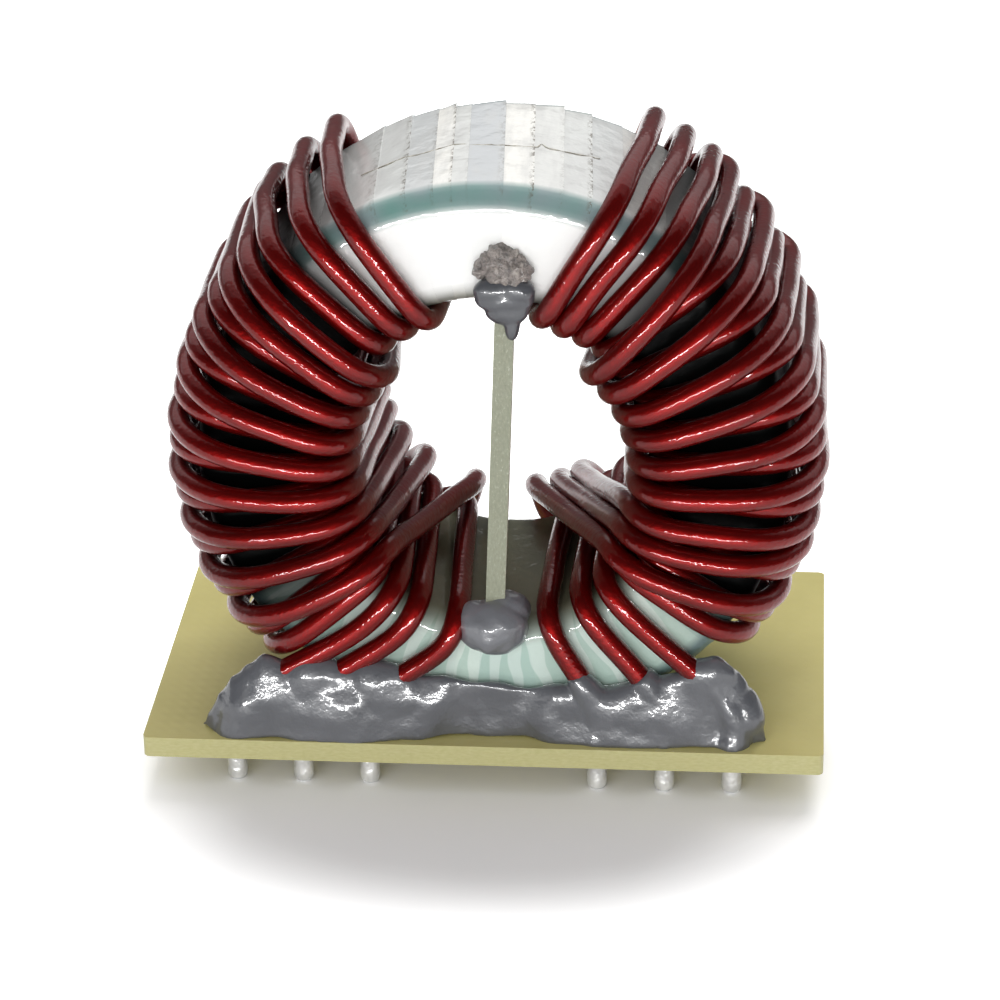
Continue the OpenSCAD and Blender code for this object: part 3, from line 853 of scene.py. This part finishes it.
def build_tape():
    """The tape as one closed skin of laps, each a little proud of the one before it."""
    section = ring_section()
    n = len(section)
    laps = tape_laps()
    vertices, marks = [], []
    for i, (a0, a1, brightness, rise, dirt) in enumerate(laps):
        half = math.radians(a1 - a0) / 2
        for c in range(LAP_COLUMNS):
            u = c / (LAP_COLUMNS - 1)
            # across a lap the tape runs straight from corner to corner
            flatness = math.cos(half) / math.cos(half * (2 * u - 1))
            for r, y, nr, ny, dark_corner_reflection in section:
                slant = (LAP_SLANT * (y / ring_h)
                         + LAP_WAVER * math.sin(LAP_WAVER_TURN * (i + u)) * (r - bore_r) / ring_r)
                angle = math.radians(a0 + u * (a1 - a0) + slant)
                lift = (LAP_STEP * (1 - LAP_PRESSED * max(0, -ny))
                        + rise * max(0, nr) * max(0, y / ring_h * 2) ** 2) * (1 - u)
                sag = (1 - flatness) * max(0, nr)
                radius = (r + lift * nr) * (1 - sag)
                vertices.append((ring_x + radius * math.cos(angle), ring_y + y + lift * ny,
                                 ring_z + radius * math.sin(angle)))
                edge = dirt * max(0, nr) if c == 0 else 0.0
                from_top = math.degrees(math.atan2(abs(vertices[-1][0] - ring_x),
                                                   vertices[-1][2] - ring_z))
                # Marks: lap tone, the painted dark reflection of the outer corners, dust on lap
                # edges, the painted shade of the bore and under the windings, and the mint stretch
                marks.append((brightness, dark_corner_reflection, edge, max(0, -nr), winding_shade(from_top),
                              risen(from_top, *MINT_START)))
    faces = ring_faces(len(laps) * LAP_COLUMNS, n, closed=True)
    obj = add_piece("tape_laps", vertices, faces, (TAPE,), "core_tape")
    # the small step from one lap to the next has crisp edges
    for seam in obj.data.edges:
        a, b = (v // n for v in seam.vertices)
        seam.use_edge_sharp = a == b and a % LAP_COLUMNS in (0, LAP_COLUMNS - 1)
    for name, values in zip(("lap_tone", "dark_corner_reflection", "lap_edge", "bore", "winding_shade", "mint"),
                            zip(*marks)):
        fill_attribute(obj, name, values)


def build_crease():
    """The cut end of the tape across the laps of the upper window."""
    path = []
    for angle, y in CREASE_LINE:
        a = math.radians(angle)
        away = (math.sin(a), 0, math.cos(a))
        path.append((np.array([ring_x, ring_y, ring_z]) + (ring_r + CREASE_R) * np.array(away)
                     + (0, y, 0), away))
    points, away, at = even_path(path, CREASE_PITCH)
    points = softened(points, CREASE_SOFTENING)
    for i, q in enumerate(at):
        place = Vector((q / CREASE_WAVER_LENGTH, CREASE_SEED, 0))
        points[i, 1] += CREASE_WAVER * noise.noise(place)
    fast, slow = CREASE_SWELL_TURNS
    radii = CREASE_R * (1 + CREASE_SWELL * np.sin(fast * at) * np.sin(slow * at))
    add_piece("tape_crease", sweep_rings(points, away, radii, CREASE_SIDES),
              tube_faces(len(points), CREASE_SIDES), (CREASE,), "core_tape")


# ---- Adhesive
# Points round an oval lump, and steps from its top to its foot
LUMP_SEGMENTS = 24
LUMP_RINGS = 16


def lump_mesh(centre, radii):
    """An oval lump in millimetres."""
    vertices = []
    for i in range(LUMP_RINGS + 1):
        t = math.pi * i / LUMP_RINGS
        for k in range(LUMP_SEGMENTS):
            a = 2 * math.pi * k / LUMP_SEGMENTS
            p = Vector((radii[0] * math.sin(t) * math.cos(a), radii[1] * math.sin(t) * math.sin(a),
                        radii[2] * math.cos(t)))
            vertices.append(tuple(Vector(centre) + p))
    quads = ring_faces(LUMP_RINGS + 1, LUMP_SEGMENTS)
    return vertices, [(a, d, c, b) for a, b, c, d in quads]


def lumps(table, y=0):
    """The lumps of a table of X, distance behind y, Z and radii."""
    return [lump_mesh((x, y + back, z), radii) for x, back, z, radii in table]


def curve_through(points, x):
    """Height at x on a smooth line through hand-set points of (x, height), level past its ends."""
    for (x0, y0), (x1, y1) in zip(points, points[1:]):
        if x < x1:
            t = max(0, (x - x0) / (x1 - x0))
            return y0 + (y1 - y0) * (3 * t * t - 2 * t ** 3)
    return y1


# Rings along a bead and points across it. Its inner half is BEAD_INNER wide, its ends close the
# more abruptly the higher BEAD_CLOSE is, down to a share of its size, and exponents under 1 fill
# out its section, across and in height
BEAD_STATIONS = 150
BEAD_POINTS = 22
BEAD_INNER = 1.4
BEAD_CLOSE = 24
BEAD_END_SHARE = 0.02
BEAD_FULL_Y = 0.8
BEAD_FULL_Z = 0.85


def bead_mesh(face, crest, foot):
    """The body of a bead: half ovals between its foot line, its crest line and its inner foot."""
    x0, x1 = crest[0][0], crest[-1][0]
    vertices = []
    for i in range(BEAD_STATIONS):
        q = i / (BEAD_STATIONS - 1)
        x = x0 + (x1 - x0) * q
        close = max(BEAD_END_SHARE, 1 - (2 * q - 1) ** BEAD_CLOSE) ** 0.5
        tall = (curve_through(crest, x) - board_t) * close
        outer = (curve_through(foot, x) - pin_row_y) * close
        for k in range(BEAD_POINTS):
            a = math.pi * k / (BEAD_POINTS - 1)
            reach = outer if a < math.pi / 2 else BEAD_INNER * close
            across = math.copysign(abs(math.cos(a)) ** BEAD_FULL_Y, math.cos(a))
            vertices.append((x, face * (pin_row_y + reach * across),
                             board_t + tall * math.sin(a) ** BEAD_FULL_Z))
    faces = tube_faces(BEAD_STATIONS, BEAD_POINTS)
    return vertices, faces if face > 0 else [f[::-1] for f in faces]


def fused(name, parts, voxel, smooth):
    """Melts overlapping closed meshes into one skin: its points and normals, and its faces."""
    obj = add_mesh(name + "_rough", *joined(parts))
    remesh = obj.modifiers.new("skin", "REMESH")
    remesh.mode = "VOXEL"
    remesh.voxel_size = voxel * MM
    relax = obj.modifiers.new("relax", "SMOOTH")
    relax.iterations = smooth
    relax.factor = 0.5
    depsgraph = bpy.context.evaluated_depsgraph_get()
    result = bpy.data.meshes.new_from_object(obj.evaluated_get(depsgraph))
    points, normals = np.empty((2, 3 * len(result.vertices)))
    result.vertices.foreach_get("co", points)
    result.vertices.foreach_get("normal", normals)
    faces = [tuple(p.vertices) for p in result.polygons]
    rough = obj.data
    bpy.data.objects.remove(obj)
    bpy.data.meshes.remove(rough)
    bpy.data.meshes.remove(result)
    return points.reshape(-1, 3) / MM, normals.reshape(-1, 3), faces


def roughened(points, normals, layers, seed):
    """Pushes points out and in by layers of noise, each a size and a depth in millimetres."""
    for i, (p, n) in enumerate(zip(points, normals)):
        depth = sum(d * noise.noise(Vector(p / size) + Vector((seed, 0, 0))) for size, d in layers)
        points[i] = p + n * depth
    return points


# Sides of the adhesive drawn up a lead, the distance between its rings, how deep it starts in the
# bead, and the share of its length by which it outlasts it, so that its end isn't bare
CUFF_SIDES = 14
CUFF_PITCH = 0.3
CUFF_SUNK = 0.2
CUFF_SPARE = 0.02


def cuff_mesh(side, s, face, length, thickness):
    """Adhesive drawn up round a lead, thinning towards its end."""
    points, away, at = even_path(lead_end(side, s, face)[1][::-1], CUFF_PITCH)
    kept = (at <= length) & (points[:, 2] > board_t - CUFF_SUNK)
    points, away, at = points[kept], away[kept], at[kept]
    radii = wire_r + thickness * np.sqrt(np.clip(1 + CUFF_SPARE - at / length, 0, 1))
    return sweep_rings(points, away, radii, CUFF_SIDES), tube_faces(len(points), CUFF_SIDES)


def bead_parts(face, crest, foot, more, cuff):
    """A bead's body, further parts, and the cuffs on its leads, of that length and thickness."""
    return [bead_mesh(face, crest, foot)] + more + [
        cuff_mesh(side, s, face, *cuff) for side in (LEFT, RIGHT) for s in range(STRANDS)]


# Crest of the front bead, (X, Z), and its outer foot, (X, distance from the board's middle)
FRONT_CREST = ((-21.2, 2.0), (-20.5, 3.3), (-19.7, 4.8), (-18.5, 6.2), (-17.4, 7.2), (-16.1, 8.1),
               (-14.3, 7.3), (-11.9, 8.0), (-10.0, 7.2), (-6.9, 7.1), (-3.8, 6.6), (-0.1, 6.0),
               (2.9, 5.7), (5.8, 6.1), (8.8, 5.8), (11.7, 6.5), (14.4, 7.2), (16.1, 8.2),
               (17.2, 8.6), (18.3, 7.9), (19.4, 6.2), (20.4, 4.0), (21.0, 2.0))
FRONT_FOOT = ((-21.2, 12.6), (-20.0, 13.4), (-18.3, 14.3), (-13.4, 14.2), (-9.6, 14.5),
              (-4.5, 13.8), (-0.9, 12.9), (2.8, 13.0), (5.8, 13.8), (10.3, 14.2), (16.2, 14.0),
              (18.7, 13.5), (20.0, 12.9), (21.0, 12.4))
# Its lumps, two before the left leads and two at the outermost right one: X, Y, Z and radii
FRONT_LUMPS = ((-7.6, -12.8, 4.9, (3.8, 1.5, 2.7)), (-12.4, -12.8, 5.5, (2.8, 1.3, 2.5)),
               (17.6, -12.3, 4.6, (2.2, 1.5, 3.0)), (18.5, -12.2, 3.6, (2.2, 1.6, 2.5)))
# The same two lines of the rear bead
REAR_CREST = ((-20.9, 2.4), (-19.4, 4.6), (-17.0, 6.0), (-14.5, 5.2), (-12.0, 5.6), (-7.5, 5.8),
              (-4.0, 4.6), (0.0, 4.2), (4.0, 4.5), (8.0, 5.6), (10.5, 5.0), (13.0, 5.3),
              (17.2, 6.2), (19.6, 4.6), (20.9, 2.4))
REAR_FOOT = ((-20.9, 13.4), (-17.0, 14.1), (-8.0, 14.0), (0.0, 13.4), (8.0, 14.1),
             (16.0, 13.9), (20.9, 13.3))
# Length and thickness of the cuffs on the leads of each bead
FRONT_CUFF = (7.4, 0.75)
REAR_CUFF = (5.6, 0.7)
# Lumps of the drops on the ring's front face: X, distance behind that face, Z, and radii
DROP_LUMPS = ((1.3, -0.6, 37.4, (1.5, 0.85, 0.95)), (2.95, -0.6, 37.4, (1.4, 0.85, 0.95)),
              (2.1, -0.55, 36.8, (2.2, 0.85, 1.2)), (2.3, -0.5, 35.9, (1.6, 0.8, 1.2)),
              (2.6, -0.45, 34.8, (0.6, 0.6, 1.3)))
CRUMB_LUMPS = ((1.95, -0.3, 39.0, (2.1, 1.1, 1.2)), (2.1, -0.2, 39.9, (1.1, 0.95, 0.75)))
BALL_LUMPS = ((0.88, -0.2, 10.3, (2.6, 1.9, 2.0)), (-0.35, 0.2, 11.0, (1.4, 1.5, 1.15)),
              (1.75, 0.8, 11.2, (1.75, 1.6, 1.5)))


def build_adhesive():
    """The beads along both rows of leads, and the drop, its crumbly top and the ball at the strip.

    Each row names a piece, its CAD node, its material and parts, the voxel that melts them, how
    often the skin is evened out, its layers of noise and their seed.
    """
    front_y = ring_y - ring_h / 2
    for name, node, material, parts, voxel, smooth, layers, seed in (
            ("front_adhesive_bead", "front_adhesive", ADHESIVE,
             bead_parts(-1, FRONT_CREST, FRONT_FOOT, lumps(FRONT_LUMPS), FRONT_CUFF),
             0.17, 6, ((3.2, 0.4), (1.3, 0.07)), 4.0),
            ("rear_adhesive_bead", "rear_adhesive", ADHESIVE,
             bead_parts(1, REAR_CREST, REAR_FOOT, [], REAR_CUFF),
             0.17, 6, ((3.0, 0.5), (1.2, 0.16)), 19.0),
            ("top_drop", "divider_top_adhesive", DARK_ADHESIVE, lumps(DROP_LUMPS, front_y),
             0.12, 16, ((1.6, 0.1), (0.7, 0.04)), 2.0),
            ("top_crumbs", "divider_top_adhesive", CRUMBS, lumps(CRUMB_LUMPS, front_y),
             0.12, 2, ((1.2, 0.45), (0.5, 0.3), (0.25, 0.14)), 8.0),
            ("foot_ball", "divider_foot_adhesive", LIT_ADHESIVE, lumps(BALL_LUMPS, front_y),
             0.14, 5, ((2.2, 0.25), (0.9, 0.1)), 12.0)):
        points, normals, faces = fused(name, parts, voxel, smooth)
        points = roughened(points, normals, layers, seed)
        add_piece(name, points, faces, (material,), node)


# ---- Stage, light and camera
FLOOR_SIZE = 2400
FLOOR_TONE = 0.92
# The floor's own glow, a painted light, outside an oval that keeps the shadow: the oval's middle
# and half axes, the share of them at which the glow starts and is full, and its strength there
GLOW_CENTRE = (1, -11)
GLOW_AXES = (30, 20.5)
GLOW_START = 0.65
GLOW_END = 1.3
GLOW_FULL = 0.9


def build_floor():
    """White floor that keeps a soft shadow: outside an oval round the object it glows, a painted
    light by which the camera sees it a little brighter than it is lit.
    """
    m = Shader("floor_white")
    m.set(Base_Color=(FLOOR_TONE, FLOOR_TONE, FLOOR_TONE, 1), Roughness=0.9,
          Specular_IOR_Level=0.0, Emission_Color=(1, 1, 1, 1))
    oval = m.node("ShaderNodeMapping")
    oval.inputs["Scale"].default_value = [1 / (a * MM) for a in GLOW_AXES] + [0]
    oval.inputs["Location"].default_value = [-c / a for c, a in zip(GLOW_CENTRE, GLOW_AXES)] + [0]
    m.link(m.node("ShaderNodeNewGeometry").outputs["Position"], oval.inputs["Vector"])
    away = m.node("ShaderNodeVectorMath", operation="LENGTH")
    m.link(oval.outputs["Vector"], away.inputs[0])
    glow = smooth_step(m.tree, away.outputs["Value"], GLOW_START, GLOW_END, 0.0, GLOW_FULL)
    seen = m.node("ShaderNodeLightPath").outputs["Is Camera Ray"]
    m.link(m.math("MULTIPLY", glow, seen), m.surface.inputs["Emission Strength"])
    w = FLOOR_SIZE / 2
    corners = [(x, y, floor_z) for x, y in ((-w, -w), (w, -w), (w, w), (-w, w))]
    add_mesh("floor", corners, [(0, 1, 2, 3)], (m.material,))


# Strength of the surroundings as a light, at the horizon and overhead, and in reflections: in the
# dark half of the room before the object, and at the backdrop behind it, low and overhead
WORLD_LOW = 0.14
WORLD_HIGH = 0.65
ROOM_GLOSSY = 0.03
BACKDROP_GLOSSY_LOW = 0.12
BACKDROP_GLOSSY_HIGH = 0.4
# Where each changes, as the height or the depth of a direction of length 1
WORLD_RISE = (0.0, 0.8)
BACKDROP_RISE = (0.42, 0.8)
ROOM_END = (-0.12, 0.12)


def build_world():
    """White to the camera, softer as a light, and a dark room with a white back to reflections."""
    world = bpy.data.worlds.new("studio")
    bpy.context.scene.world = world
    world.use_nodes = True
    tree = world.node_tree
    background = tree.nodes["Background"]
    background.inputs["Color"].default_value = (1, 1, 1, 1)
    path = tree.nodes.new("ShaderNodeLightPath").outputs
    direction = tree.nodes.new("ShaderNodeSeparateXYZ")
    tree.links.new(tree.nodes.new("ShaderNodeTexCoord").outputs["Generated"], direction.inputs[0])
    depth, height = (direction.outputs[axis] for axis in "YZ")
    strength = smooth_step(tree, height, *WORLD_RISE, WORLD_LOW, WORLD_HIGH)
    backdrop = smooth_step(tree, height, *BACKDROP_RISE, BACKDROP_GLOSSY_LOW, BACKDROP_GLOSSY_HIGH)
    room = smooth_step(tree, depth, *ROOM_END, ROOM_GLOSSY, backdrop)
    for ray, value in (("Is Glossy Ray", room), ("Is Camera Ray", 1.0),
                       ("Is Transmission Ray", 1.0)):
        choose = tree.nodes.new("ShaderNodeMix")
        tree.links.new(path[ray], choose.inputs["Factor"])
        tree.links.new(strength, choose.inputs["A"])
        feed(tree, value, choose.inputs["B"])
        strength = choose.outputs["Result"]
    tree.links.new(strength, background.inputs["Strength"])


# The lamps: place and target, width and height in millimetres, power in watts, and whether they
# light surfaces and show in their gloss
LAMP_TARGET = (0, -2, 18)
LAMPS = (("front_strip", (0, -400, 20), LAMP_TARGET, (420, 16), 1.6, False, True),
         ("back_card", (0, 120, 200), (0, 0, 200), (600, 234), 0.25, False, True),
         ("soft_front", (-60, -420, 120), LAMP_TARGET, (500, 200), 1.05, True, False),
         ("back_key", (60, 300, 460), LAMP_TARGET, (420, 320), 2.4, True, False))


def build_lamp(name, place, target, size, power, diffuse, glossy):
    lamp = bpy.data.lights.new(name, "AREA")
    lamp.shape = "RECTANGLE"
    lamp.size = size[0] * MM
    lamp.size_y = size[1] * MM
    lamp.energy = power
    obj = add_object(name, lamp)
    obj.location = Vector(place) * MM
    obj.rotation_euler = (Vector(target) - Vector(place)).to_track_quat("-Z", "Y").to_euler()
    obj.visible_camera = False
    obj.visible_diffuse = diffuse
    obj.visible_glossy = glossy


# Camera: place, and its pitch down, yaw to the left and roll, in degrees. FOCAL is in pixels of
# a frame that is FRAME_PX wide, and nothing nearer than CAMERA_NEAR shows.
CAMERA_PLACE = (22.22, -248.0, 139.62)
CAMERA_PITCH = 26.64
CAMERA_YAW = 5.01
CAMERA_ROLL = -0.95
FOCAL = 3678
FRAME_PX = 1000
CAMERA_NEAR = 10


def build_camera():
    pitch, yaw, roll = (math.radians(a) for a in (CAMERA_PITCH, CAMERA_YAW, CAMERA_ROLL))
    forward = Vector((-math.sin(yaw) * math.cos(pitch), math.cos(yaw) * math.cos(pitch),
                      -math.sin(pitch)))
    level = Vector((math.cos(yaw), math.sin(yaw), 0))
    upright = level.cross(forward)
    right = level * math.cos(roll) + upright * math.sin(roll)
    up = upright * math.cos(roll) - level * math.sin(roll)
    camera = bpy.data.cameras.new("camera")
    camera.lens = FOCAL * camera.sensor_width / FRAME_PX
    camera.clip_start = CAMERA_NEAR * MM
    obj = add_object("camera", camera)
    turn_to = Matrix((right, up, -forward)).transposed().to_4x4()
    obj.matrix_world = Matrix.Translation(Vector(CAMERA_PLACE) * MM) @ turn_to
    bpy.context.scene.camera = obj


build_floor()
build_world()
for lamp_row in LAMPS:
    build_lamp(*lamp_row)
build_camera()
bpy.context.scene.view_settings.view_transform = "Standard"
for side in (LEFT, RIGHT):
    for s in range(STRANDS):
        build_wire(side, s)
build_tape()
build_crease()
build_adhesive()
repaint("base_board", BOARD)
repaint("divider", DIVIDER)
repaint("core", CORE)
